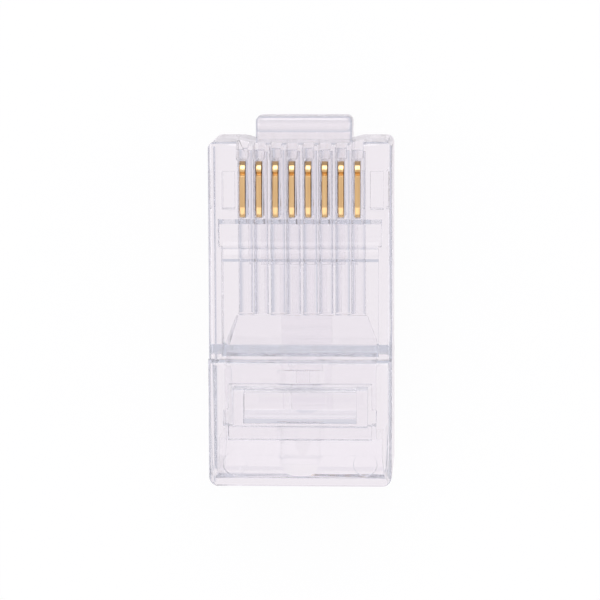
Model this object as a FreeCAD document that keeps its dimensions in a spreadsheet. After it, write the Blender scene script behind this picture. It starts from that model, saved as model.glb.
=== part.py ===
import FreeCAD, Part
import math
import os
import re
import Sketcher

# Modular plug with eight contacts, seen from the contact side.
# X runs across the contacts, +Y points out of the nose, +Z points out of the contact side.
# The origin is the middle of the flat nose face, halfway up the nose. Lengths are millimetres.
# A size called ...Start or ...End is a distance behind the nose face.

Vector = FreeCAD.Vector
doc = FreeCAD.newDocument("modular_plug")
sheet = doc.addObject("Spreadsheet::Sheet", "sizes")

SIZES = {
    # outer form of the moulding
    "bodyLength": (21.2, "nose face to rear face"),
    "bodyWidth": (11.4, "width of the moulding"),
    "noseHeight": (6.6, "height that enters the socket"),
    "cheekLead": (0.2, "how far the cheeks stand ahead of the nose face"),
    "faceHalf": (3.05, "half width of the set back nose face"),
    "cheekSlope": (0.75, "width of the slope from the nose face to a cheek"),
    "frontCorner": (0.5, "plan radius of the front corners"),
    "rearCorner": (0.6, "plan radius of the rear corners"),
    "longEdge": (0.4, "rounding along the long edges"),
    "noseEdge": (0.28, "rounding of the front edges of the nose"),
    "cutPast": (1.0, "how far a cut runs past the surface it opens"),
    "plateauStart": (13.3, "front of the thicker rear section"),
    "plateauRise": (0.7, "extra height of the rear section on the contact side"),
    "plateauRound": (0.35, "rounding of the front edge of the rear section"),
    "underStart": (13.0, "front of the thicker rear section, latch side"),
    "underRise": (0.7, "extra height of the rear section on the latch side"),
    "underSlope": (0.7, "length of the slope up to it"),
    # contact blades and their slots
    "contactPitch": (1.016, "spacing of the contacts"),
    "bladeThick": (0.35, "thickness of a contact blade"),
    "bladeStart": (1.02, "front edge of a blade"),
    "bladeLength": (3.46, "length of a blade"),
    "bladeSunk": (0.1, "top of a blade below the contact side"),
    "shoulderRound": (0.5, "radius of the blade's front shoulder"),
    "notchStart": (0.62, "front of the notch behind the shoulder, from the blade's front edge"),
    "notchLength": (0.3, "length of the notch"),
    "notchDepth": (0.14, "depth of the notch"),
    "flatDrop": (0.035, "the long flat behind the notch, below the shoulder"),
    "tailLength": (0.62, "length of the blade's sloping tail"),
    "tailDrop": (0.32, "fall of the sloping tail"),
    "toothHeight": (0.75, "height of the piercing teeth"),
    "toothTip": (0.12, "width of a tooth's tip"),
    "toothGap": (0.14, "tooth tips above the roof of their wire channel"),
    "slotSide": (0.045, "clearance on each side of a blade"),
    "slotEnds": (0.04, "clearance at a blade's ends"),
    "entryWidth": (0.7, "width of a slot where a spring wire enters it"),
    "entryDepth": (2.0, "depth of that entry"),
    "entryEnd": (0.85, "end of the wide entry"),
    "entryTaper": (0.12, "length over which the entry narrows"),
    # wire channels
    "channelWidth": (0.92, "width of a wire channel"),
    "channelRise": (0.46, "from the centre of a channel to its flat roof"),
    "upperRow": (0.35, "centre height of the upper row of channels"),
    "lowerRow": (-0.75, "centre height of the lower row of channels"),
    "channelStart": (0.5, "blind front end of the channels"),
    "channelEnd": (10.85, "rear end of the channels"),
    # recess behind the contacts
    "recessStart": (4.58, "front edge of the recess"),
    "recessSlope": (0.36, "length of its front slope"),
    "shelfDepth": (0.6, "depth of the front shelf"),
    "shelfHalf": (5.05, "half width of the front shelf"),
    "shelfEnd": (6.3, "rear end of the front shelf's side walls"),
    "brinkStart": (5.95, "where the shelf begins to roll over"),
    "ledgeStart": (6.55, "where the roll-over meets the ledge below it"),
    "ledgeDepth": (0.92, "depth of the ledge"),
    "ledgeEnd": (6.98, "rear end of the ledge"),
    "ledgeFall": (0.08, "fall of the ledge over its length"),
    "brinkEnd": (7.22, "foot of the steep step behind the ledge"),
    "floorDepth": (1.35, "depth of the long floor"),
    "floorHalf": (4.86, "half width of the long floor"),
    "floorEnd": (12.3, "foot of the slope back up"),
    "recessEnd": (13.0, "rear edge of the recess"),
    # funnel, jacket cavity and cable mouth
    "funnelHalf": (4.13, "half width of the funnel at the channels"),
    "funnelMargin": (0.06, "height of the funnel beyond the channels"),
    "cavityStart": (12.4, "rear end of the funnel"),
    "ceilingRun": (0.1, "level stretch of the ceiling behind the funnel"),
    "cavityHalf": (4.72, "half width of the jacket cavity"),
    "recessWall": (0.75, "wall between the recess and the cavity"),
    "cavityTop": (2.83, "ceiling of the jacket cavity above the centre"),
    "cavityFloor": (2.9, "floor of the jacket cavity below the centre"),
    "cavityRise": (1.0, "length of the cavity's entry slopes"),
    "jacketRadius": (3.2, "radius of the round groove for the jacket"),
    "grooveLag": (0.6, "front end of that groove, behind the cavity's entry slopes"),
    "mouthStart": (18.3, "front of the wider mouth"),
    "mouthHalf": (5.1, "half width of the mouth"),
    "mouthTop": (2.86, "ceiling of the mouth above the centre"),
    "mouthFloor": (2.96, "floor of the mouth below the centre"),
    "flareStart": (19.4, "where the mouth begins to flare"),
    "sideShare": (0.5, "spread of the mouth's sides as a share of its floor's and ceiling's"),
    "flareRise": (0.22, "spread of the long flare, up and down"),
    "leadStart": (20.5, "where the flare turns into the steep lead-in"),
    "leadRise": (0.2, "spread of the steep lead-in"),
    "rimStart": (20.77, "where the steep lead-in turns into the rim's slope"),
    "rimRise": (0.1, "spread of the rim's slope"),
    # jacket-clamp window and bar
    "windowStart": (14.85, "front of the window"),
    "windowHalf": (4.45, "half width of the window"),
    "barStart": (15.1, "front face of the clamp bar"),
    "barHalf": (4.2, "half width of the clamp bar"),
    "barEnd": (17.5, "rear of the clamp bar, where its web begins"),
    "barDrop": (0.3, "front of the bar below the cavity's ceiling"),
    "barBevel": (0.08, "bevel of the bar's upper front edge"),
    "barChin": (0.2, "bevel of the bar's lower front edge"),
    "barSlope": (0.1, "length of the slope from the bar's top down to the web"),
    "barLap": (0.05, "overlap of the bar with its web"),
    "webEnd": (18.3, "rear end of the thin web"),
    "webTop": (0.45, "top of the web below the rear section's surface"),
    "dieHalf": (3.5, "half width of the crimp pocket in the bar"),
    "dieStart": (15.3, "front of the crimp pocket"),
    "dieEnd": (17.25, "rear of the crimp pocket"),
    "dieDepth": (0.75, "depth of the crimp pocket"),
    "dieSlope": (0.75, "length of the slope at the pocket's rear"),
    "dieBrim": (0.1, "top of that slope below the rear section's surface"),
    "bridgeStart": (16.4, "front of the small side notches"),
    "bridgeLength": (1.0, "length of the side notches"),
    "bridgeDepth": (0.3, "depth of the side notches into the side walls"),
    # cores and ejector marks
    "coreStart": (1.9, "front of the coring pockets on the latch side"),
    "coreLength": (2.4, "length of the coring pockets"),
    "coreInner": (4.25, "inner side of the coring pockets"),
    "coreWidth": (0.85, "width of the coring pockets"),
    "coreDepth": (1.4, "depth of the coring pockets"),
    "markRadius": (0.73, "radius of the ejector marks"),
    "markSpread": (4.06, "ejector marks to each side of the middle"),
    "markStart": (19.8, "centre of the ejector marks"),
    "markDepth": (0.12, "depth of the ejector marks"),
    # latch and the lip that carries it
    "lipWidth": (6.1, "width of the lip and of the latch's front"),
    "lipReach": (1.45, "how far the lip stands ahead of the nose face"),
    "lipTop": (1.75, "top of the lip below the centre"),
    "lipBottom": (3.5, "underside of the lip below the centre"),
    "lipCorner": (0.37, "radius of the lip's front corners"),
    "lipCrown": (0.3, "rounding of the lip's top front edge"),
    "lipRoot": (0.3, "how far the lip's root runs into the nose"),
    "hingeAhead": (0.8, "latch hinge line ahead of the nose face"),
    "hingeBelow": (4.0, "latch hinge line below the centre"),
    "knuckleRadius": (0.6, "radius of the latch's root"),
    "knuckleGap": (0.04, "running gap round the latch's root"),
    "latchAngle": (8.0, "angle of the latch to the body at rest, in degrees"),
    "armHalf": (0.45, "half thickness of the latch arm at its root"),
    "rampStart": (2.6, "where the latch's cam begins, from the hinge"),
    "rampEnd": (8.0, "where the cam has its full depth, from the hinge"),
    "catchReach": (9.0, "catch shoulders, from the hinge"),
    "catchDepth": (1.05, "cam at the shoulders below the arm's middle"),
    "tailWidth": (3.25, "width of the finger tail"),
    "tailTop": (0.15, "top of the tail above the arm's middle"),
    "tailThick": (0.9, "thickness of the tail"),
    "tailRoot": (1.0, "how far the tail runs into the arm"),
    "latchReach": (19.2, "tip of the tail, from the hinge"),
    "tailCorner": (0.7, "plan radius of the tail's tip"),
}
CONTACTS = 8
TEETH = 3

for row, (name, (size, meaning)) in enumerate(SIZES.items(), start=1):
    sheet.set(f"A{row}", meaning)
    sheet.set(f"B{row}", str(size))
    sheet.setAlias(f"B{row}", name)
doc.recompute()


# formulas

def formula(text):
    """Writes each size in a formula as a cell of the sheet."""
    return re.sub(r"[A-Za-z]\w*", lambda word: f"sizes.{word[0]}" if word[0] in SIZES else word[0], text)


def value(text):
    """The present value of a formula, in millimetres."""
    return float(sheet.evalExpression(formula(text)))


def bind(thing, prop, text):
    thing.setExpression(prop, formula(text))


# sketches

def make_body(name):
    body = doc.addObject("PartDesign::Body", name)
    body.Label = name
    return body


def plane_sketch(body, name, role, ahead=None):
    """A sketch on an origin plane of the body. ahead moves it along the plane's normal."""
    sketch = body.newObject("Sketcher::SketchObject", name)
    plane = next(item for item in body.Origin.OriginFeatures if item.Role == role)
    sketch.AttachmentSupport = [(plane, "")]
    sketch.MapMode = "FlatFace"
    if ahead is not None:
        bind(sketch, "AttachmentOffset.Base.z", ahead)
    return sketch


def fix_point(sketch, edge, end, across, up):
    """Ties one point of an edge to the origin by two formulas; None leaves one free."""
    for kind, text in (("DistanceX", across), ("DistanceY", up)):
        if text is None:
            continue
        index = sketch.addConstraint(Sketcher.Constraint(kind, -1, 1, edge, end, value(text)))
        bind(sketch, f"Constraints[{index}]", text)


def draw(sketch, corners):
    """A closed outline. A corner is (across, up), or (across, up, arc) where the edge that leaves it
    is an arc: arc is (centre across, centre up, turn), turn 1 anticlockwise and -1 clockwise."""
    first = sketch.GeometryCount
    count = len(corners)
    spots = [Vector(value(corner[0]), value(corner[1]), 0) for corner in corners]
    starts = []
    for i, corner in enumerate(corners):
        start, end = spots[i], spots[(i + 1) % count]
        if len(corner) == 2:
            sketch.addGeometry(Part.LineSegment(start, end), False)
            starts.append((1, 2))
            continue
        centre = Vector(value(corner[2][0]), value(corner[2][1]), 0)
        turn = corner[2][2]
        begin = math.atan2(start.y - centre.y, start.x - centre.x)
        finish = math.atan2(end.y - centre.y, end.x - centre.x)
        circle = Part.Circle(centre, Vector(0, 0, 1), (start - centre).Length)
        if turn > 0:
            arc = Part.ArcOfCircle(circle, begin, finish if finish > begin else finish + 2 * math.pi)
            starts.append((1, 2))
        else:
            arc = Part.ArcOfCircle(circle, finish, begin if begin > finish else begin + 2 * math.pi)
            starts.append((2, 1))
        sketch.addGeometry(arc, False)
    for i in range(count):
        after = (i + 1) % count
        joined = Sketcher.Constraint("Coincident", first + i, starts[i][1], first + after, starts[after][0])
        sketch.addConstraint(joined)
    for i, corner in enumerate(corners):
        fix_point(sketch, first + i, starts[i][0], corner[0], corner[1])
        if len(corner) == 3:
            chord = spots[(i + 1) % count] - spots[i]
            level = abs(chord.x) > abs(chord.y)
            across, up, turn = corner[2]
            fix_point(sketch, first + i, 3, None if level else across, up if level else None)


def draw_box(sketch, left, right, low, high):
    draw(sketch, [(left, low), (right, low), (right, high), (left, high)])


def draw_circle(sketch, across, up, radius):
    edge = sketch.addGeometry(
        Part.Circle(Vector(value(across), value(up), 0), Vector(0, 0, 1), value(radius)), False)
    fix_point(sketch, edge, 3, across, up)
    index = sketch.addConstraint(Sketcher.Constraint("Radius", edge, value(radius)))
    bind(sketch, f"Constraints[{index}]", radius)


# features

def extrude(body, kind, name, sketch, length=None, both=False, flip=False):
    """A pad or pocket of a sketch, through everything where no length is given."""
    feature = body.newObject(f"PartDesign::{kind}", name)
    feature.Profile = sketch
    feature.SideType = "Symmetric" if both else "One side"
    feature.Reversed = flip
    if length is None:
        feature.Type = "ThroughAll"
    else:
        feature.Type = "Length"
        bind(feature, "Length", length)
    doc.recompute()
    return feature


def repeat(body, name, features, spacing, count):
    """The same features again, side by side along X."""
    pattern = body.newObject("PartDesign::LinearPattern", name)
    pattern.Originals = features
    axis = next(item for item in body.Origin.OriginFeatures if item.Role == "X_Axis")
    pattern.Direction = (axis, [""])
    pattern.Mode = "Spacing"
    bind(pattern, "Offset", spacing)
    pattern.Occurrences = count
    body.Tip = pattern
    doc.recompute()
    return pattern


def taper(body, name, near, far):
    """Cuts the straight-sided space between two sketches."""
    loft = body.newObject("PartDesign::SubtractiveLoft", name)
    loft.Profile = near
    loft.Sections = [far]
    loft.Ruled = True
    doc.recompute()
    return loft


def mirror(body, name, features):
    """The same features on the other side of the plug's middle plane."""
    copy = body.newObject("PartDesign::Mirrored", name)
    copy.Originals = features
    plane = next(item for item in body.Origin.OriginFeatures if item.Role == "YZ_Plane")
    copy.MirrorPlane = (plane, [""])
    body.Tip = copy
    doc.recompute()
    return copy


def round_edges(body, name, base, radius, wanted):
    """A fillet on each edge that wanted picks by its two ends."""
    doc.recompute()
    picked = []
    for number, edge in enumerate(base.Shape.Edges, start=1):
        ends = [vertex.Point for vertex in edge.Vertexes]
        if len(ends) == 2 and wanted(ends[0], ends[1]):
            picked.append(f"Edge{number}")
    fillet = body.newObject("PartDesign::Fillet", name)
    fillet.Base = (base, picked)
    bind(fillet, "Radius", radius)
    doc.recompute()
    return fillet


# housing

def housing_block(body):
    """The outer form: a side view, trimmed to the plan view, with its long edges rounded."""
    side = plane_sketch(body, "side_view", "YZ_Plane")
    draw(side, [
        ("cheekLead", "noseEdge - noseHeight / 2", ("cheekLead - noseEdge", "noseEdge - noseHeight / 2", -1)),
        ("cheekLead - noseEdge", "-noseHeight / 2"),
        ("-underStart", "-noseHeight / 2"),
        ("-underStart - underSlope", "-noseHeight / 2 - underRise"),
        ("-bodyLength", "-noseHeight / 2 - underRise"),
        ("-bodyLength", "noseHeight / 2 + plateauRise"),
        ("-plateauStart - plateauRound", "noseHeight / 2 + plateauRise",
         ("-plateauStart - plateauRound", "noseHeight / 2 + plateauRise - plateauRound", -1)),
        ("-plateauStart", "noseHeight / 2 + plateauRise - plateauRound"),
        ("-plateauStart", "noseHeight / 2"),
        ("cheekLead - noseEdge", "noseHeight / 2",
         ("cheekLead - noseEdge", "noseHeight / 2 - noseEdge", -1)),
        ("cheekLead", "noseHeight / 2 - noseEdge"),
    ])
    block = extrude(body, "Pad", "block", side, "bodyWidth + cutPast", both=True)

    plan = plane_sketch(body, "plan_view", "XY_Plane")
    draw_box(plan, "-bodyWidth", "bodyWidth", "-bodyLength - bodyWidth", "cheekLead + bodyWidth")
    corners = [
        ("faceHalf", "0"),
        ("faceHalf + cheekSlope", "cheekLead"),
        ("bodyWidth / 2 - frontCorner", "cheekLead",
         ("bodyWidth / 2 - frontCorner", "cheekLead - frontCorner", -1)),
        ("bodyWidth / 2", "cheekLead - frontCorner"),
        ("bodyWidth / 2", "rearCorner - bodyLength",
         ("bodyWidth / 2 - rearCorner", "rearCorner - bodyLength", -1)),
        ("bodyWidth / 2 - rearCorner", "-bodyLength"),
        ("rearCorner - bodyWidth / 2", "-bodyLength",
         ("rearCorner - bodyWidth / 2", "rearCorner - bodyLength", -1)),
        ("-bodyWidth / 2", "rearCorner - bodyLength"),
        ("-bodyWidth / 2", "cheekLead - frontCorner",
         ("frontCorner - bodyWidth / 2", "cheekLead - frontCorner", -1)),
        ("frontCorner - bodyWidth / 2", "cheekLead"),
        ("-faceHalf - cheekSlope", "cheekLead"),
        ("-faceHalf", "0"),
    ]
    draw(plan, corners)
    extrude(body, "Pocket", "plan_trim", plan, both=True)

    top = "noseHeight / 2"
    cuts = [
        long_edge(body, "nose_top", top, 1, "-cutPast", "plateauStart"),
        long_edge(body, "rear_top", f"{top} + plateauRise", 1, "plateauStart", "bodyLength + cutPast"),
        long_edge(body, "nose_under", f"-{top}", -1, "-cutPast", "underStart"),
        long_edge(body, "rear_under", f"-{top} - underRise", -1, "underStart + underSlope",
                  "bodyLength + cutPast"),
    ]
    mirror(body, "other_long_edges", cuts)


def long_edge(body, name, height, way, start, end):
    """Rounds one long edge at a height; way is 1 on the contact side and -1 on the latch side."""
    section = plane_sketch(body, f"{name}_edge", "XZ_Plane", end)
    inner, outer = "bodyWidth / 2 - longEdge", "bodyWidth / 2 + cutPast"
    below, above = f"{height} - longEdge * {way}", f"{height} + cutPast * {way}"
    draw(section, [
        (inner, height, (inner, below, -way)),
        ("bodyWidth / 2", below),
        (outer, below),
        (outer, above),
        (inner, above),
    ])
    return extrude(body, "Pocket", f"{name}_round", section, f"{end} - ({start})")


def contact_place(number):
    """The distance of a contact to the right of the middle; the first one is at the left."""
    return f"contactPitch * {number - (CONTACTS + 1) / 2}"


def contact_slots(body):
    """Eight slots from the contact side, wide where a spring wire enters and narrow round a blade."""
    entry = plane_sketch(body, "entry_plan", "XY_Plane", "noseHeight / 2")
    first = contact_place(1)
    draw(entry, [
        (f"{first} - entryWidth / 2", "cutPast"),
        (f"{first} - entryWidth / 2", "-entryEnd"),
        (f"{first} - bladeThick / 2 - slotSide", "-entryEnd - entryTaper"),
        (f"{first} + bladeThick / 2 + slotSide", "-entryEnd - entryTaper"),
        (f"{first} + entryWidth / 2", "-entryEnd"),
        (f"{first} + entryWidth / 2", "cutPast"),
    ])
    entry_cut = extrude(body, "Pocket", "entry", entry, "entryDepth")
    repeat(body, "entries", [entry_cut], "contactPitch", CONTACTS)

    for name, row, number in (("upper", "upperRow", 2), ("lower", "lowerRow", 1)):
        start = contact_place(number)
        slot = plane_sketch(body, f"{name}_slot_plan", "XY_Plane", "noseHeight / 2")
        draw_box(slot, f"{start} - bladeThick / 2 - slotSide", f"{start} + bladeThick / 2 + slotSide",
                 "-bladeStart - bladeLength - slotEnds", "slotEnds - bladeStart")
        cut = extrude(body, "Pocket", f"{name}_slot", slot, f"noseHeight / 2 - {row}")
        repeat(body, f"{name}_slots", [cut], "contactPitch * 2", CONTACTS // 2)


def wire_channels(body):
    """Two staggered rows of blind channels, round below and square above."""
    for name, row, number in (("upper", "upperRow", 2), ("lower", "lowerRow", 1)):
        start = contact_place(number)
        section = plane_sketch(body, f"{name}_channel_section", "XZ_Plane", "channelEnd")
        draw(section, [
            (f"{start} - channelWidth / 2", row, (start, row, 1)),
            (f"{start} + channelWidth / 2", row),
            (f"{start} + channelWidth / 2", f"{row} + channelRise"),
            (f"{start} - channelWidth / 2", f"{row} + channelRise"),
        ])
        cut = extrude(body, "Pocket", f"{name}_channel", section, "channelEnd - channelStart")
        repeat(body, f"{name}_channels", [cut], "contactPitch * 2", CONTACTS // 2)


def contact_side_recess(body):
    """The stepped recess between the side rails, behind the contacts."""
    top = "noseHeight / 2"
    shelf = plane_sketch(body, "shelf_side", "YZ_Plane")
    draw(shelf, [
        ("-recessStart", f"{top} + cutPast"),
        ("-recessStart", top),
        ("-recessStart - recessSlope", f"{top} - shelfDepth"),
        ("-shelfEnd", f"{top} - shelfDepth"),
        ("-shelfEnd", f"{top} + cutPast"),
    ])
    extrude(body, "Pocket", "shelf", shelf, "shelfHalf * 2", both=True)

    floor = plane_sketch(body, "floor_side", "YZ_Plane")
    run, fall = "(ledgeStart - brinkStart)", "(ledgeDepth - shelfDepth)"
    brink = f"({run} * {run} + {fall} * {fall}) / (2 * {fall})"
    draw(floor, [
        ("-brinkStart", f"{top} + cutPast"),
        ("-brinkStart", f"{top} - shelfDepth", ("-brinkStart", f"{top} - shelfDepth - {brink}", 1)),
        ("-ledgeStart", f"{top} - ledgeDepth"),
        ("-ledgeEnd", f"{top} - ledgeDepth - ledgeFall"),
        ("-brinkEnd", f"{top} - floorDepth"),
        ("-floorEnd", f"{top} - floorDepth"),
        ("-recessEnd", top),
        ("-recessEnd", f"{top} + cutPast"),
    ])
    extrude(body, "Pocket", "recess_floor", floor, "floorHalf * 2", both=True)


def jacket_cavity(body):
    """Funnel, cavity with its round groove, mouth and lead-in, all open to the rear."""
    ceiling = "noseHeight / 2 - floorDepth - recessWall"
    throat = "lowerRow - channelWidth / 2 - funnelMargin"
    side = plane_sketch(body, "cavity_side", "YZ_Plane")
    draw(side, [
        ("-cavityStart", throat),
        ("-cavityStart", ceiling),
        ("-cavityStart - ceilingRun", ceiling),
        ("-cavityStart - ceilingRun - cavityRise", "cavityTop"),
        ("-bodyLength - cutPast", "cavityTop"),
        ("-bodyLength - cutPast", "-cavityFloor"),
        ("-cavityStart - cavityRise", "-cavityFloor"),
    ])
    extrude(body, "Pocket", "cavity", side, "cavityHalf * 2", both=True)

    near = plane_sketch(body, "funnel_front", "XZ_Plane", "channelEnd")
    draw_box(near, "-funnelHalf", "funnelHalf", throat, "upperRow + channelRise + funnelMargin")
    far = plane_sketch(body, "funnel_rear", "XZ_Plane", "cavityStart")
    draw_box(far, "-cavityHalf", "cavityHalf", throat, ceiling)
    taper(body, "funnel", near, far)

    groove = plane_sketch(body, "jacket_section", "XZ_Plane", "bodyLength + cutPast")
    draw_circle(groove, "0", "0", "jacketRadius")
    extrude(body, "Pocket", "jacket_groove", groove,
            "bodyLength + cutPast - cavityStart - cavityRise - grooveLag")

    mouth = mouth_section(body, "mouth_rear", "bodyLength + cutPast", "0")
    extrude(body, "Pocket", "mouth", mouth, "bodyLength + cutPast - mouthStart")

    stages = [("flareStart", "0"), ("leadStart", "flareRise"), ("rimStart", "flareRise + leadRise"),
              ("bodyLength", "flareRise + leadRise + rimRise")]
    for number in range(1, len(stages)):
        near = mouth_section(body, f"flare_{number}_front", *stages[number - 1])
        far = mouth_section(body, f"flare_{number}_rear", *stages[number])
        taper(body, f"flare_{number}", near, far)


def mouth_section(body, name, behind, spread):
    """A section of the mouth, this far behind the nose face and spread from its first size."""
    section = plane_sketch(body, name, "XZ_Plane", behind)
    draw_box(section, f"-mouthHalf - ({spread}) * sideShare", f"mouthHalf + ({spread}) * sideShare",
             f"-mouthFloor - ({spread})", f"mouthTop + {spread}")
    return section


def clamp_window(body):
    """The window in the contact side and the clamp bar that hangs in it from a thin web."""
    surface = "noseHeight / 2 + plateauRise"
    step = plane_sketch(body, "web_plan", "XY_Plane", surface)
    draw_box(step, "-windowHalf", "windowHalf", "-webEnd", "-windowStart")
    extrude(body, "Pocket", "web_step", step, "webTop")

    window = plane_sketch(body, "window_plan", "XY_Plane", surface)
    draw(window, [
        ("-windowHalf", "-barEnd"),
        ("windowHalf", "-barEnd"),
        ("windowHalf", "-bridgeStart - bridgeLength"),
        ("windowHalf + bridgeDepth", "-bridgeStart - bridgeLength"),
        ("windowHalf + bridgeDepth", "-bridgeStart"),
        ("windowHalf", "-bridgeStart"),
        ("windowHalf", "-windowStart"),
        ("-windowHalf", "-windowStart"),
        ("-windowHalf", "-bridgeStart"),
        ("-windowHalf - bridgeDepth", "-bridgeStart"),
        ("-windowHalf - bridgeDepth", "-bridgeStart - bridgeLength"),
        ("-windowHalf", "-bridgeStart - bridgeLength"),
    ])
    extrude(body, "Pocket", "window", window, f"{surface} - cavityTop")

    bar = plane_sketch(body, "bar_side", "YZ_Plane")
    draw(bar, [
        ("-barStart", f"{surface} - barBevel"),
        ("-barStart", "cavityTop - barDrop + barChin"),
        ("-barStart - barChin", "cavityTop - barDrop"),
        ("-barEnd - barLap", "cavityTop"),
        ("-barEnd - barLap", f"{surface} - webTop"),
        ("-barEnd + barSlope", surface),
        ("-barStart - barBevel", surface),
    ])
    extrude(body, "Pad", "clamp_bar", bar, "barHalf * 2", both=True)

    die = plane_sketch(body, "die_side", "YZ_Plane")
    draw(die, [
        ("-dieStart", f"{surface} + cutPast"),
        ("-dieStart", f"{surface} - dieDepth"),
        ("-dieEnd + dieSlope", f"{surface} - dieDepth"),
        ("-dieEnd", f"{surface} - dieBrim"),
        ("-dieEnd", f"{surface} + cutPast"),
    ])
    extrude(body, "Pocket", "die_pocket", die, "dieHalf * 2", both=True)


def cores_and_marks(body):
    """Coring pockets beside the latch and the two ejector marks."""
    core = plane_sketch(body, "core_plan", "XY_Plane", "-noseHeight / 2")
    draw_box(core, "coreInner", "coreInner + coreWidth", "-coreStart - coreLength", "-coreStart")
    cut = extrude(body, "Pocket", "core", core, "coreDepth", flip=True)
    mirror(body, "cores", [cut])

    mark = plane_sketch(body, "mark_plan", "XY_Plane", "noseHeight / 2 + plateauRise")
    draw_circle(mark, "markSpread", "-markStart", "markRadius")
    dent = extrude(body, "Pocket", "ejector_mark", mark, "markDepth")
    mirror(body, "ejector_marks", [dent])


def latch_lip(body):
    """The lip ahead of the nose, hollowed below for the latch's round root."""
    seat = "(knuckleRadius + knuckleGap)"
    open_half = f"sqrt({seat} * {seat} - (hingeBelow - lipBottom) * (hingeBelow - lipBottom))"
    side = plane_sketch(body, "lip_side", "YZ_Plane")
    draw(side, [
        ("-lipRoot", "-lipBottom"),
        ("-lipRoot", "-lipTop"),
        ("lipReach - lipCrown", "-lipTop", ("lipReach - lipCrown", "-lipTop - lipCrown", -1)),
        ("lipReach", "-lipTop - lipCrown"),
        ("lipReach", "-lipBottom"),
        (f"hingeAhead + {open_half}", "-lipBottom", ("hingeAhead", "-hingeBelow", 1)),
        (f"hingeAhead - {open_half}", "-lipBottom"),
    ])
    lip = extrude(body, "Pad", "lip", side, "lipWidth", both=True)
    crown = value("lipCrown")
    front = value("lipReach") - crown

    def front_corner(one, other):
        return one.y > front and other.y > front and abs(one.z - other.z) > crown

    return round_edges(body, "lip_corners", lip, "lipCorner", front_corner)


def build_housing():
    body = make_body("housing")
    housing_block(body)
    jacket_cavity(body)
    contact_side_recess(body)
    wire_channels(body)
    contact_slots(body)
    clamp_window(body)
    cores_and_marks(body)
    latch_lip(body)
    return body


# latch

def build_latch():
    """The latch lies along -Y from its hinge line, and its placement sets the rest angle."""
    body = make_body("latch")
    arm = plane_sketch(body, "arm_side", "YZ_Plane")
    root_back = "sqrt(knuckleRadius * knuckleRadius - armHalf * armHalf)"
    draw(arm, [
        (f"-{root_back}", "-armHalf", ("0", "0", 1)),
        (f"-{root_back}", "armHalf"),
        ("-catchReach", "armHalf"),
        ("-catchReach", "-catchDepth"),
        ("-rampEnd", "-catchDepth"),
        ("-rampStart", "-armHalf"),
    ])
    extrude(body, "Pad", "arm", arm, "lipWidth", both=True)

    tail = plane_sketch(body, "tail_side", "YZ_Plane")
    draw(tail, [
        ("tailRoot - catchReach", "tailTop"),
        ("tailRoot - catchReach", "tailTop - tailThick"),
        ("-latchReach + tailThick / 2", "tailTop - tailThick",
         ("-latchReach + tailThick / 2", "tailTop - tailThick / 2", -1)),
        ("-latchReach + tailThick / 2", "tailTop"),
    ])
    extrude(body, "Pad", "tail", tail, "tailWidth", both=True)

    tip = plane_sketch(body, "tip_plan", "XY_Plane")
    draw(tip, [
        ("tailWidth / 2", "tailCorner - latchReach",
         ("tailWidth / 2 - tailCorner", "tailCorner - latchReach", -1)),
        ("tailWidth / 2 - tailCorner", "-latchReach"),
        ("tailWidth / 2 - tailCorner", "-latchReach - cutPast"),
        ("tailWidth / 2 + cutPast", "-latchReach - cutPast"),
        ("tailWidth / 2 + cutPast", "tailCorner - latchReach"),
    ])
    corner = extrude(body, "Pocket", "tip_round", tip, both=True)
    mirror(body, "tip_rounds", [corner])
    bind(body, "Placement.Base.y", "hingeAhead")
    bind(body, "Placement.Base.z", "-hingeBelow")
    body.Placement.Rotation = FreeCAD.Rotation(Vector(1, 0, 0), value("latchAngle"))
    bind(body, "Placement.Rotation.Angle", "latchAngle * 1 deg")
    doc.recompute()
    return body


# contacts

def build_contact(number):
    """One blade, drawn from its front top corner. Odd contacts reach the lower row of channels."""
    row = "lowerRow" if number % 2 else "upperRow"
    tip = f"-(noseHeight / 2 - bladeSunk - {row} - channelRise - toothGap)"
    body = make_body(f"contact_{number}")
    side = plane_sketch(body, f"blade_side_{number}", "YZ_Plane")
    corners = [
        ("0", "-shoulderRound", ("-shoulderRound", "-shoulderRound", 1)),
        ("-shoulderRound", "0"),
        ("-notchStart", "0"),
        ("-notchStart - notchLength / 2", "-notchDepth"),
        ("-notchStart - notchLength", "-flatDrop"),
        ("-bladeLength + tailLength", "-flatDrop"),
        ("-bladeLength", "-tailDrop"),
    ]
    for tooth in range(TEETH):
        root = f"-bladeLength + bladeLength / {TEETH} * {tooth}"
        middle = f"{root} + bladeLength / {TEETH} / 2"
        corners.append((root, f"{tip} + toothHeight"))
        corners.append((f"{middle} - toothTip / 2", tip))
        corners.append((f"{middle} + toothTip / 2", tip))
    corners.append(("0", f"{tip} + toothHeight"))
    draw(side, corners)
    extrude(body, "Pad", f"blade_{number}", side, "bladeThick", both=True)
    bind(body, "Placement.Base.x", contact_place(number))
    bind(body, "Placement.Base.y", "-bladeStart")
    bind(body, "Placement.Base.z", "noseHeight / 2 - bladeSunk")
    doc.recompute()
    return body


# the whole plug

pieces = [build_housing(), build_latch()]
pieces += [build_contact(number) for number in range(1, CONTACTS + 1)]
doc.recompute()

faults = []
for item in doc.Objects:
    if "Invalid" in item.State or "Error" in item.State:
        faults.append(f"{item.Label} failed")
for piece in pieces:
    if piece.Shape.isNull() or not piece.Shape.isValid() or len(piece.Shape.Solids) != 1:
        faults.append(f"{piece.Label} isn't one valid solid")
if faults:
    raise RuntimeError("; ".join(faults))

os.makedirs("parts", exist_ok=True)
for piece in pieces:
    piece.Shape.exportStep(f"parts/{piece.Label}.step")
    print(piece.Label, round(piece.Shape.Volume, 3), "mm3", piece.Shape.BoundBox)
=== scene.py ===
import math

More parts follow.
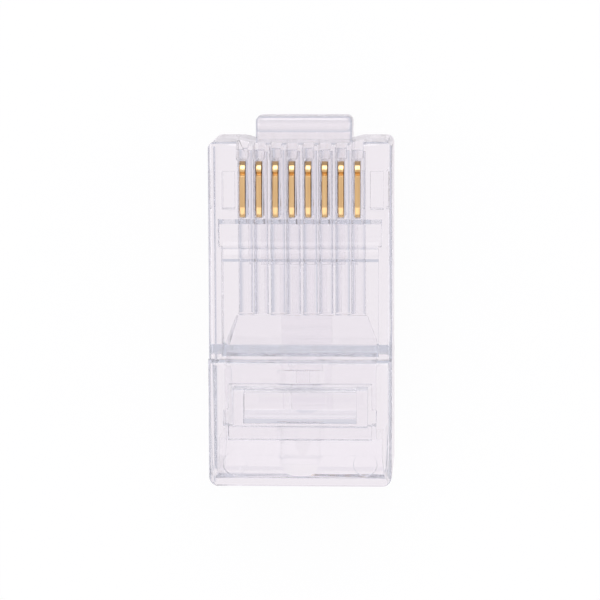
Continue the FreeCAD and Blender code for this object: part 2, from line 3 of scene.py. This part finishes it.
import bmesh
import bpy
import numpy as np
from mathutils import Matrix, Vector


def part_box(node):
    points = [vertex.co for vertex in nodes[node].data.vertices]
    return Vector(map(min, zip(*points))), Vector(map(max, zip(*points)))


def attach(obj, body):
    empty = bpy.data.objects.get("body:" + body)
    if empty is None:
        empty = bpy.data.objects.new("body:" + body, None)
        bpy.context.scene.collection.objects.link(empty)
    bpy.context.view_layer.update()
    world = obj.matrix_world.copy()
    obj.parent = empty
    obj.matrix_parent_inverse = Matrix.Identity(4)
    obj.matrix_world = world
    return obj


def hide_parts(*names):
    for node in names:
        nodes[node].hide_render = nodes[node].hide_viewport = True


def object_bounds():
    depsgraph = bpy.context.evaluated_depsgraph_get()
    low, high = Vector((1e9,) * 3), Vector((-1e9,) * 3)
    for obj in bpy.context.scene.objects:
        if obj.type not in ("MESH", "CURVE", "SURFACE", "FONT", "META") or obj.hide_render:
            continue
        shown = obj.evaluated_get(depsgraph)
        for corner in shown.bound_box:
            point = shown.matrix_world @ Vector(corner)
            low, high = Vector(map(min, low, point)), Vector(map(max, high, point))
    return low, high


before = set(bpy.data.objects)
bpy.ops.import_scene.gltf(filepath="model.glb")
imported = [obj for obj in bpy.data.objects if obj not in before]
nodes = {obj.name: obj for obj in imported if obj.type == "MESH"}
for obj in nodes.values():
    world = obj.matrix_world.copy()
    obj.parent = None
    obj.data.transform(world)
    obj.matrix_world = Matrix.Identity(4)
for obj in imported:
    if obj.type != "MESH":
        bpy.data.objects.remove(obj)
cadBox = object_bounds()
mm = 0.001
print("frame loaded:", sorted(nodes))


# camera: over the contact side, a little ahead of the nose and to the right

cameraSet = {
    "distance": 184.0 * mm,  # from the middle of the contact side
    "leanToNose": 7.8,  # degrees from straight above
    "leanToRight": 3.1,
    "roll": 0.2,
    "lens": 178.1,
    "sensor": 36.0,
    "contactSide": 3.3 * mm,  # height of the contact side
    "middleBack": -10.5 * mm,
    "aimAhead": 0.9 * mm,  # the picture's centre is this far ahead of the middle
    "nearest": 0.01,
}


def makeCamera(look):
    # the camera stands away from the middle along the leaning line, looks at the aim, and has +Y
    # upwards in its picture, turned by the roll
    middle = Vector((0, look["middleBack"], look["contactSide"]))
    away = Vector((
        math.tan(math.radians(look["leanToRight"])),
        math.tan(math.radians(look["leanToNose"])),
        1.0,
    )).normalized()
    data = bpy.data.cameras.new("studioCamera")
    data.lens = look["lens"]
    data.sensor_width = look["sensor"]
    data.clip_start = look["nearest"]
    camera = bpy.data.objects.new("studioCamera", data)
    bpy.context.scene.collection.objects.link(camera)
    camera.location = middle + away * look["distance"]
    aim = middle + Vector((0, look["aimAhead"], 0))
    sight = (aim - camera.location).normalized()
    right = sight.cross(Vector((0, 1, 0))).normalized()
    up = right.cross(sight)
    turn = math.radians(look["roll"])
    rightTurned = right * math.cos(turn) - up * math.sin(turn)
    upTurned = right * math.sin(turn) + up * math.cos(turn)
    matrix = camera.matrix_world.to_3x3()
    for row in range(3):
        matrix[row] = (rightTurned[row], upTurned[row], -sight[row])
    camera.rotation_euler = matrix.to_euler()
    bpy.context.scene.camera = camera


makeCamera(cameraSet)
print("camera set")


# studio: white floor and surround, soft lamps

studioSet = {
    "floorHalf": 0.9,
    "floorColour": (0.84, 0.83, 0.86, 1.0),
    "floorGlow": 0.95,  # share of plain white that the eye sees
    "horizon": (0.60, 0.61, 0.69, 1.0),
    "zenith": (0.90, 0.87, 0.90, 1.0),
    "nadir": (0.878, 0.838, 0.876, 1.0),  # the light table below, seen through the clear plastic
    "dome": (0.25, 0.95),  # heights between which the horizon turns into the zenith
    "table": (0.76, 0.985),  # and depths between which it turns into the nadir
    "bounces": (32, 24, 32),  # in all, in reflections, and through the clear plastic
    "lamps": [
        # name, place, width, height, power in watts
        ("noseSoft", (0.02, 0.28, 0.36), 0.3, 0.36, 0.9),
        ("rearSoft", (-0.04, -0.30, 0.34), 0.3, 0.3, 0.22),
        ("leftSoft", (-0.36, 0.02, 0.2), 0.2, 0.2, 0.2),
        ("rightSoft", (0.36, -0.05, 0.22), 0.2, 0.2, 0.2),
    ],
}


def nodesOf(material):
    # the emptied node tree of a material or of the world
    material.use_nodes = True
    tree = material.node_tree
    tree.nodes.clear()
    return tree


def addNode(tree, kind, **values):
    # one shader node with its settings and its input values
    node = tree.nodes.new(kind)
    for name, setting in values.items():
        if name in node.inputs:
            node.inputs[name].default_value = setting
        else:
            setattr(node, name, setting)
    return node


def shadeByHeight(tree, height, limits, below, above):
    # a colour that turns smoothly from one to the other between two heights
    level = addNode(tree, "ShaderNodeMapRange", interpolation_type="SMOOTHSTEP")
    level.inputs["From Min"].default_value = limits[0]
    level.inputs["From Max"].default_value = limits[1]
    shade = addNode(tree, "ShaderNodeMix", data_type="RGBA")
    tree.links.new(height, level.inputs["Value"])
    tree.links.new(level.outputs["Result"], shade.inputs["Factor"])
    for socket, colour in ((shade.inputs[6], below), (shade.inputs[7], above)):
        if isinstance(colour, tuple):
            socket.default_value = colour
        else:
            tree.links.new(colour, socket)
    return shade.outputs[2]


def makeFloor(studio):
    # a square at the object's lowest point, white to the eye and a plain diffuse grey to other light
    half = studio["floorHalf"]
    low = cadBox[0][2]
    corners = [(-half, -half, low), (half, -half, low), (half, half, low), (-half, half, low)]
    mesh = bpy.data.meshes.new("studioFloor")
    mesh.from_pydata(corners, [], [(0, 1, 2, 3)])
    floor = bpy.data.objects.new("studioFloor", mesh)
    bpy.context.scene.collection.objects.link(floor)
    material = bpy.data.materials.new("whiteFloor")
    tree = nodesOf(material)
    paper = addNode(tree, "ShaderNodeBsdfDiffuse", Color=studio["floorColour"])
    glow = addNode(tree, "ShaderNodeEmission", Strength=1.0)
    mix = addNode(tree, "ShaderNodeMixShader")
    out = addNode(tree, "ShaderNodeOutputMaterial")
    path = addNode(tree, "ShaderNodeLightPath")
    seen = addNode(tree, "ShaderNodeMath", operation="MULTIPLY")
    seen.inputs[1].default_value = studio["floorGlow"]
    tree.links.new(path.outputs["Is Camera Ray"], seen.inputs[0])
    tree.links.new(seen.outputs[0], mix.inputs[0])
    tree.links.new(paper.outputs[0], mix.inputs[1])
    tree.links.new(glow.outputs[0], mix.inputs[2])
    tree.links.new(mix.outputs[0], out.inputs["Surface"])
    mesh.materials.append(material)
    floor.visible_transmission = False
    floor.visible_glossy = False


def makeWorld(studio):
    # white to the eye; to other light it goes from the nadir over the horizon to the zenith by height
    world = bpy.data.worlds.new("studioWorld")
    bpy.context.scene.world = world
    tree = nodesOf(world)
    path = addNode(tree, "ShaderNodeLightPath")
    grey = addNode(tree, "ShaderNodeBackground")
    place = addNode(tree, "ShaderNodeTexCoord")
    split = addNode(tree, "ShaderNodeSeparateXYZ")
    turned = addNode(tree, "ShaderNodeMath", operation="MULTIPLY")
    turned.inputs[1].default_value = -1.0
    tree.links.new(place.outputs["Generated"], split.inputs[0])
    tree.links.new(split.outputs["Z"], turned.inputs[0])
    upper = shadeByHeight(tree, split.outputs["Z"], studio["dome"], studio["horizon"], studio["zenith"])
    whole = shadeByHeight(tree, turned.outputs[0], studio["table"], upper, studio["nadir"])
    tree.links.new(whole, grey.inputs["Color"])
    white = addNode(tree, "ShaderNodeBackground", Color=(1, 1, 1, 1), Strength=1.0)
    mix = addNode(tree, "ShaderNodeMixShader")
    out = addNode(tree, "ShaderNodeOutputWorld")
    tree.links.new(path.outputs["Is Camera Ray"], mix.inputs[0])
    tree.links.new(grey.outputs[0], mix.inputs[1])
    tree.links.new(white.outputs[0], mix.inputs[2])
    tree.links.new(mix.outputs[0], out.inputs["Surface"])


def makeLamps(studio):
    # rectangles of light that face the origin and aren't seen through the plastic
    for name, place, width, height, power in studio["lamps"]:
        data = bpy.data.lights.new(name, "AREA")
        data.shape = "RECTANGLE"
        data.size = width
        data.size_y = height
        data.energy = power
        lamp = bpy.data.objects.new(name, data)
        bpy.context.scene.collection.objects.link(lamp)
        lamp.location = place
        lamp.visible_transmission = False
        lamp.rotation_euler = (-Vector(place)).to_track_quat("-Z", "Y").to_euler()


makeFloor(studioSet)
makeWorld(studioSet)
makeLamps(studioSet)
bpy.context.scene.view_settings.view_transform = "Standard"
light = bpy.context.scene.cycles
light.max_bounces, light.glossy_bounces, light.transmission_bounces = studioSet["bounces"]
print("studio set")


# clear moulding: polished polycarbonate with a faint lavender tint

clearSet = {
    "colour": (0.985, 0.977, 0.99, 1.0),
    "ior": 1.585,
    "clearness": 0.985,  # the rest is haze
    "polish": (0.01, 0.04),  # roughness of the smoothest and the dullest places
    "patchScale": 350.0,
    "patchLimits": (0.4, 0.7),  # noise levels of the smoothest and the dullest places
}


def makeClear(clear):
    # clear plastic whose roughness drifts a little from place to place
    material = bpy.data.materials.new("clearMoulding")
    tree = nodesOf(material)
    place = addNode(tree, "ShaderNodeTexCoord")
    patch = addNode(tree, "ShaderNodeTexNoise", Scale=clear["patchScale"], Detail=3.0)
    polish = addNode(tree, "ShaderNodeMapRange")
    polish.inputs["From Min"].default_value = clear["patchLimits"][0]
    polish.inputs["From Max"].default_value = clear["patchLimits"][1]
    polish.inputs["To Min"].default_value = clear["polish"][0]
    polish.inputs["To Max"].default_value = clear["polish"][1]
    shell = addNode(tree, "ShaderNodeBsdfPrincipled", IOR=clear["ior"])
    shell.inputs["Base Color"].default_value = clear["colour"]
    shell.inputs["Transmission Weight"].default_value = clear["clearness"]
    out = addNode(tree, "ShaderNodeOutputMaterial")
    tree.links.new(place.outputs["Object"], patch.inputs["Vector"])
    tree.links.new(patch.outputs[0], polish.inputs["Value"])
    tree.links.new(polish.outputs[0], shell.inputs["Roughness"])
    tree.links.new(shell.outputs[0], out.inputs["Surface"])
    return material


# gold plating: rolled strip, with streaks along the blade

goldSet = {
    "bright": (0.93, 0.67, 0.36, 1.0),
    "deep": (0.60, 0.35, 0.14, 1.0),
    "cut": (0.50, 0.33, 0.19, 1.0),  # painted shade: the strip's sides, deep in their slots, darker brown than the plated top
    "roughness": (0.16, 0.30),
    "streaks": (9000.0, 260.0, 9000.0),  # noise scale across, along and down the blade
    "sideShadeLimits": (0.75, 0.98),  # share of X in the facing direction, where the top turns into the sides' painted shade
}


def makeGold(gold):
    # polished metal whose colour and roughness follow long streaks, with painted shade darkening its sides
    material = bpy.data.materials.new("goldPlate")
    tree = nodesOf(material)
    place = addNode(tree, "ShaderNodeTexCoord")
    stretch = addNode(tree, "ShaderNodeMapping")
    stretch.inputs["Scale"].default_value = gold["streaks"]
    streak = addNode(tree, "ShaderNodeTexNoise", Scale=1.0, Detail=3.0)
    tone = addNode(tree, "ShaderNodeMix", data_type="RGBA")
    tone.inputs[6].default_value = gold["deep"]
    tone.inputs[7].default_value = gold["bright"]
    polish = addNode(tree, "ShaderNodeMapRange")
    polish.inputs["To Min"].default_value = gold["roughness"][0]
    polish.inputs["To Max"].default_value = gold["roughness"][1]
    shell = addNode(tree, "ShaderNodeBsdfPrincipled", Metallic=1.0)
    out = addNode(tree, "ShaderNodeOutputMaterial")
    tree.links.new(place.outputs["Object"], stretch.inputs["Vector"])
    tree.links.new(stretch.outputs[0], streak.inputs["Vector"])
    tree.links.new(streak.outputs[0], tone.inputs["Factor"])
    tree.links.new(streak.outputs[0], polish.inputs["Value"])
    # painted shade: the sides, where the surface faces along X, turn to a darker brown
    facing = addNode(tree, "ShaderNodeNewGeometry")
    split = addNode(tree, "ShaderNodeSeparateXYZ")
    sideways = addNode(tree, "ShaderNodeMath", operation="ABSOLUTE")
    side = addNode(tree, "ShaderNodeMapRange", interpolation_type="SMOOTHSTEP")
    side.inputs["From Min"].default_value = gold["sideShadeLimits"][0]
    side.inputs["From Max"].default_value = gold["sideShadeLimits"][1]
    sideShaded = addNode(tree, "ShaderNodeMix", data_type="RGBA")
    sideShaded.inputs[7].default_value = gold["cut"]
    tree.links.new(facing.outputs["Normal"], split.inputs[0])
    tree.links.new(split.outputs["X"], sideways.inputs[0])
    tree.links.new(sideways.outputs[0], side.inputs["Value"])
    tree.links.new(side.outputs["Result"], sideShaded.inputs["Factor"])
    tree.links.new(tone.outputs[2], sideShaded.inputs[6])
    tree.links.new(sideShaded.outputs[2], shell.inputs["Base Color"])
    tree.links.new(polish.outputs[0], shell.inputs["Roughness"])
    tree.links.new(shell.outputs[0], out.inputs["Surface"])
    return material


clearMoulding = makeClear(clearSet)
goldPlate = makeGold(goldSet)
for name, node in nodes.items():
    node.data.materials.clear()
    node.data.materials.append(goldPlate if name.startswith("contact") else clearMoulding)
print("finishes set")


# moulded skins: the plain forms with the soft edges that a mould leaves

skinSet = {
    "edgeWidth": 0.03 * mm,
    "segments": 2,
    "merge": 0.0001 * mm,
    "level": 0.3,  # degrees; faces that turn less than this become one
    "sharpest": 32.0,  # degrees; flatter edges are left as they are
    "straight": 0.88,  # cosine of the turn up to which one edge carries on from another
    "shortest": 0.45 * mm,  # a straight edge shorter than this is left as it is
    "shortestOnCurve": 0.1 * mm,
    "room": (1.5, 3.0),  # free width beside an outer and an inner edge, in edge widths
    "flatWeight": 80,  # how much more the large flat faces count where they meet a round
    "mouth": (5.4 * mm, -19.0 * mm, 3.55 * mm),  # half width, front and half height of the flared mouth
    "mouthSharpest": 3.0,  # degrees; the mouth's flare keeps the steps between its tapers
    "crispBelow": -3.1 * mm,  # the underside, where the two halves of the mould meet, keeps crisp edges
    "lipUnder": -3.5 * mm,  # height of the lip's underside, where the latch's root sits
    "seatDepth": 0.2 * mm,
    "lipCorner": 0.37 * mm,  # radius of the lip's corners in plan
    "cornerSteps": 7,
    "moves": [
        # the roof before the jacket cavity stays thick for longer: the foot and the top of its slope
        ((4.6 * mm, -12.6 * mm, 1.1 * mm), (4.8 * mm, -12.45 * mm, 1.3 * mm), (0, -1.62 * mm, 0)),
        ((4.6 * mm, -13.6 * mm, 2.8 * mm), (4.8 * mm, -13.4 * mm, 2.86 * mm), (0, -0.45 * mm, 0)),
        # the slope of the cavity's floor
        ((4.6 * mm, -13.7 * mm, -3.1 * mm), (4.8 * mm, -12.35 * mm, -1.1 * mm), (0, -0.52 * mm, 0)),
        # the outer slope before the rear part: its foot and its top
        ((4.8 * mm, -12.4 * mm, 1.9 * mm), (4.9 * mm, -12.2 * mm, 2.0 * mm), (0, -0.35 * mm, 0)),
        ((4.8 * mm, -13.1 * mm, 3.2 * mm), (4.9 * mm, -12.9 * mm, 3.4 * mm), (0, -0.15 * mm, 0)),
        # the step behind the ledge
        ((4.4 * mm, -7.3 * mm, 1.8 * mm), (5.2 * mm, -6.7 * mm, 2.6 * mm), (0, -0.17 * mm, 0)),
        # the mouth's steep taper, at the roof
        ((4.9 * mm, -20.8 * mm, 3.1 * mm), (5.5 * mm, -20.7 * mm, 3.6 * mm), (0, 0, 0.08 * mm)),
    ],
}


def fitHousing(form, skin):
    # fills the hinge's hollow under the lip, because the real lip and latch are one moulding
    for vert in form.verts:
        ahead = vert.co.y > skin["seatDepth"]
        if ahead and skin["lipUnder"] < vert.co.z < skin["lipUnder"] + skin["seatDepth"]:
            vert.co.z = skin["lipUnder"]
    # shifts the corners between two limits, on both sides alike, to where the light in the plastic
    # shows the slopes to be
    for low, high, move in skin["moves"]:
        for vert in form.verts:
            place = (abs(vert.co.x), vert.co.y, vert.co.z)
            if all(low[axis] < place[axis] < high[axis] for axis in range(3)):
                vert.co += Vector(move)


def roundRoot(form, skin):
    # the latch's root is rounded in plan as the lip above it is: at each side its front goes back
    # along a quarter circle
    radius = skin["lipCorner"]
    half = max(vert.co.x for vert in form.verts)
    start = max(vert.co.y for vert in form.verts) - radius
    turns = np.linspace(0, np.pi / 2, skin["cornerSteps"])[:-1]
    for side in (-1, 1):
        for turn in turns:
            cut = Vector((side * (half - radius + radius * math.sin(turn)), 0, 0))
            every = form.verts[:] + form.edges[:] + form.faces[:]
            bmesh.ops.bisect_plane(form, geom=every, plane_co=cut, plane_no=(1, 0, 0), dist=skin["merge"])
    for vert in form.verts:
        out = (abs(vert.co.x) - half + radius) / radius
        if vert.co.y > start and out > 0:
            vert.co.y = start + (vert.co.y - start) * math.sqrt(max(0.0, 1 - out ** 2))


def goesOn(edge, vert, skin):
    # true where another sharp edge carries on from this one in nearly the same direction
    ahead = (vert.co - edge.other_vert(vert).co).normalized()
    for other in vert.link_edges:
        if other is edge or other.calc_face_angle(0) < math.radians(skin["sharpest"]):
            continue
        if ahead.dot((other.other_vert(vert).co - vert.co).normalized()) > skin["straight"]:
            return True
    return False


def freeWidth(edge):
    # the distance from the middle of an edge to the nearest edge across the two faces beside it
    middle = (edge.verts[0].co + edge.verts[1].co) / 2
    nearest = 1.0
    for face in edge.link_faces:
        for other in face.edges:
            if set(other.verts) & set(edge.verts):
                continue
            start = other.verts[0].co
            along = other.verts[1].co - start
            share = max(0.0, min(1.0, (middle - start).dot(along) / along.length_squared))
            nearest = min(nearest, (start + along * share - middle).length)
    return nearest


def softened(edge, skin):
    # true for a sharp edge above the underside that is long enough and has room for its round
    if edge.calc_face_angle(0) < math.radians(skin["sharpest"]):
        return False
    if max(vert.co.z for vert in edge.verts) < skin["crispBelow"]:
        return False
    length = edge.calc_length()
    curve = goesOn(edge, edge.verts[0], skin) and goesOn(edge, edge.verts[1], skin)
    if length < (skin["shortestOnCurve"] if curve else skin["shortest"]):
        return False
    outer, inner = skin["room"]
    return freeWidth(edge) > skin["edgeWidth"] * (outer if edge.is_convex else inner)


def inMouth(edge, skin):
    # true for an edge of the flare inside the cable mouth
    across, front, high = skin["mouth"]
    return all(
        abs(vert.co.x) < across and vert.co.y < front and abs(vert.co.z) < high for vert in edge.verts)


def makeSkin(node, body, skin, fitForm):
    # a merged and fitted copy of the node's form, its sharp edges rounded by narrow strips, shaded
    # smooth except across the edges that stay sharp
    form = bmesh.new()
    form.from_mesh(nodes[node].data)
    bmesh.ops.remove_doubles(form, verts=form.verts, dist=skin["merge"])
    fitForm(form, skin)
    level = math.radians(skin["level"])
    bmesh.ops.dissolve_limit(form, angle_limit=level, verts=form.verts, edges=form.edges)
    soft = [edge for edge in form.edges if softened(edge, skin)]
    bmesh.ops.bevel(
        form, geom=soft, offset=skin["edgeWidth"], offset_type="OFFSET", segments=skin["segments"],
        profile=0.5, affect="EDGES", clamp_overlap=False)
    for face in form.faces:
        face.smooth = True
    for edge in form.edges:
        limit = skin["mouthSharpest"] if inMouth(edge, skin) else skin["sharpest"]
        edge.smooth = edge.calc_face_angle(0) < math.radians(limit)
    print(node, "edges softened:", len(soft))
    mesh = bpy.data.meshes.new(node + "Skin")
    form.to_mesh(mesh)
    form.free()
    mesh.materials.append(clearMoulding)
    piece = bpy.data.objects.new(node + "Skin", mesh)
    bpy.context.scene.collection.objects.link(piece)
    even = piece.modifiers.new("evenShade", "WEIGHTED_NORMAL")
    even.weight = skin["flatWeight"]
    even.keep_sharp = True
    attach(piece, body)
    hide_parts(node)


makeSkin("housing", "body", skinSet, fitHousing)
makeSkin("latch", "latch", skinSet, roundRoot)
print("skins made")


# gold blades: stamped strip with a crowned shoulder, a notch, a long flat and a sloping tail

bladeSet = {
    "crown": (0.6 * mm, 0.5 * mm),  # length and height of the front shoulder's quarter ellipse
    "notchStart": 0.62 * mm,
    "notchEnd": 0.92 * mm,
    "notchDepth": 0.16 * mm,
    "flatDrop": 0.035 * mm,
    "tailLength": 0.62 * mm,
    "tailDrop": 0.22 * mm,
    "teeth": 3,
    "toothHeight": 0.75 * mm,
    "toothTip": 0.12 * mm,
    "edgeRound": 0.025 * mm,
    "edgePoints": 4,
    "stations": 220,  # cross sections behind the shoulder
    "crownStations": 40,
    "sharpest": 40.0,  # degrees; flatter edges are shaded smooth
}


def bladeTop(along, length, blade):
    # the height of the blade's top below its highest line, at each distance behind its front:
    # a quarter ellipse down to the front, a V-shaped notch, a level flat, and a straight slope at the tail
    run, fall = blade["crown"]
    share = 1 - np.clip(along / run, 0, 1)
    drop = fall * (1 - np.sqrt(1 - share ** 2))
    half = (blade["notchEnd"] - blade["notchStart"]) / 2
    into = np.clip((along - blade["notchStart"]) / half, 0, 1)
    out = np.clip((along - blade["notchStart"]) / half - 1, 0, 1)
    drop = drop + into * blade["notchDepth"] - out * (blade["notchDepth"] - blade["flatDrop"])
    slope = np.clip((along - length + blade["tailLength"]) / blade["tailLength"], 0, 1)
    return drop + slope * (blade["tailDrop"] - blade["flatDrop"])


def bladeBottom(along, length, blade):
    # the height of the teeth's edge above their tips: a zigzag with one period per tooth and flat tips
    period = length / blade["teeth"]
    fromTip = np.abs(np.mod(along, period) - period / 2)
    halfTip = blade["toothTip"] / 2
    return np.clip((fromTip - halfTip) / (period / 2 - halfTip), 0, 1) * blade["toothHeight"]


def makeBlade(name, blade):
    # one closed surface: at each distance behind the front, a rounded rectangle as wide as the strip,
    # from the teeth's edge up to the blade's top
    low, high = (np.array(corner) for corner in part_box(name))
    length = high[1] - low[1]
    turn = np.linspace(0, np.pi / 2, blade["crownStations"])
    along = np.concatenate([
        blade["crown"][0] * (1 - np.cos(turn)),
        np.linspace(blade["crown"][0], length, blade["stations"]),
        np.linspace(blade["notchStart"], blade["notchEnd"], 3),  # the notch's ends and its bottom
    ])
    along = np.unique(along)
    top = high[2] - bladeTop(along, length, blade)
    bottom = low[2] + bladeBottom(along, length, blade)
    radius = blade["edgeRound"]
    quarter = np.linspace(0, np.pi / 2, blade["edgePoints"])
    half = (high[0] - low[0]) / 2
    across, lift, atTop = [], [], []
    for side, level, start in ((1, 1, 0), (-1, 1, 1), (-1, 0, 2), (1, 0, 3)):
        angle = quarter + start * np.pi / 2
        across.append(side * (half - radius) + radius * np.cos(angle))
        lift.append((1 if level else -1) * -radius + radius * np.sin(angle))
        atTop.append(np.full(len(quarter), level))
    across, lift, atTop = (np.concatenate(part) for part in (across, lift, atTop))
    middle = (low[0] + high[0]) / 2
    count, ring = len(along), len(across)
    points = np.empty((count, ring, 3))
    points[:, :, 0] = middle + across
    points[:, :, 1] = (high[1] - along)[:, None]
    points[:, :, 2] = np.where(atTop == 1, top[:, None], bottom[:, None]) + lift
    first = np.arange(count - 1)[:, None] * ring
    here = np.arange(ring)[None, :]
    after = (here + 1) % ring
    sides = np.stack([first + here, first + ring + here, first + ring + after, first + after], axis=2)
    faces = sides.reshape(-1, 4).tolist()
    faces.append(list(range(ring)))
    faces.append(list(range((count - 1) * ring, count * ring))[::-1])
    mesh = bpy.data.meshes.new(name + "Blade")
    mesh.from_pydata(points.reshape(-1, 3).tolist(), [], faces)
    mesh.shade_smooth()
    mesh.set_sharp_from_angle(angle=math.radians(blade["sharpest"]))
    mesh.materials.append(goldPlate)
    piece = bpy.data.objects.new(name + "Blade", mesh)
    bpy.context.scene.collection.objects.link(piece)
    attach(piece, "body")
    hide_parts(name)
    return piece


blades = [makeBlade(name, bladeSet) for name in sorted(nodes) if name.startswith("contact")]
print("blades made:", len(blades))
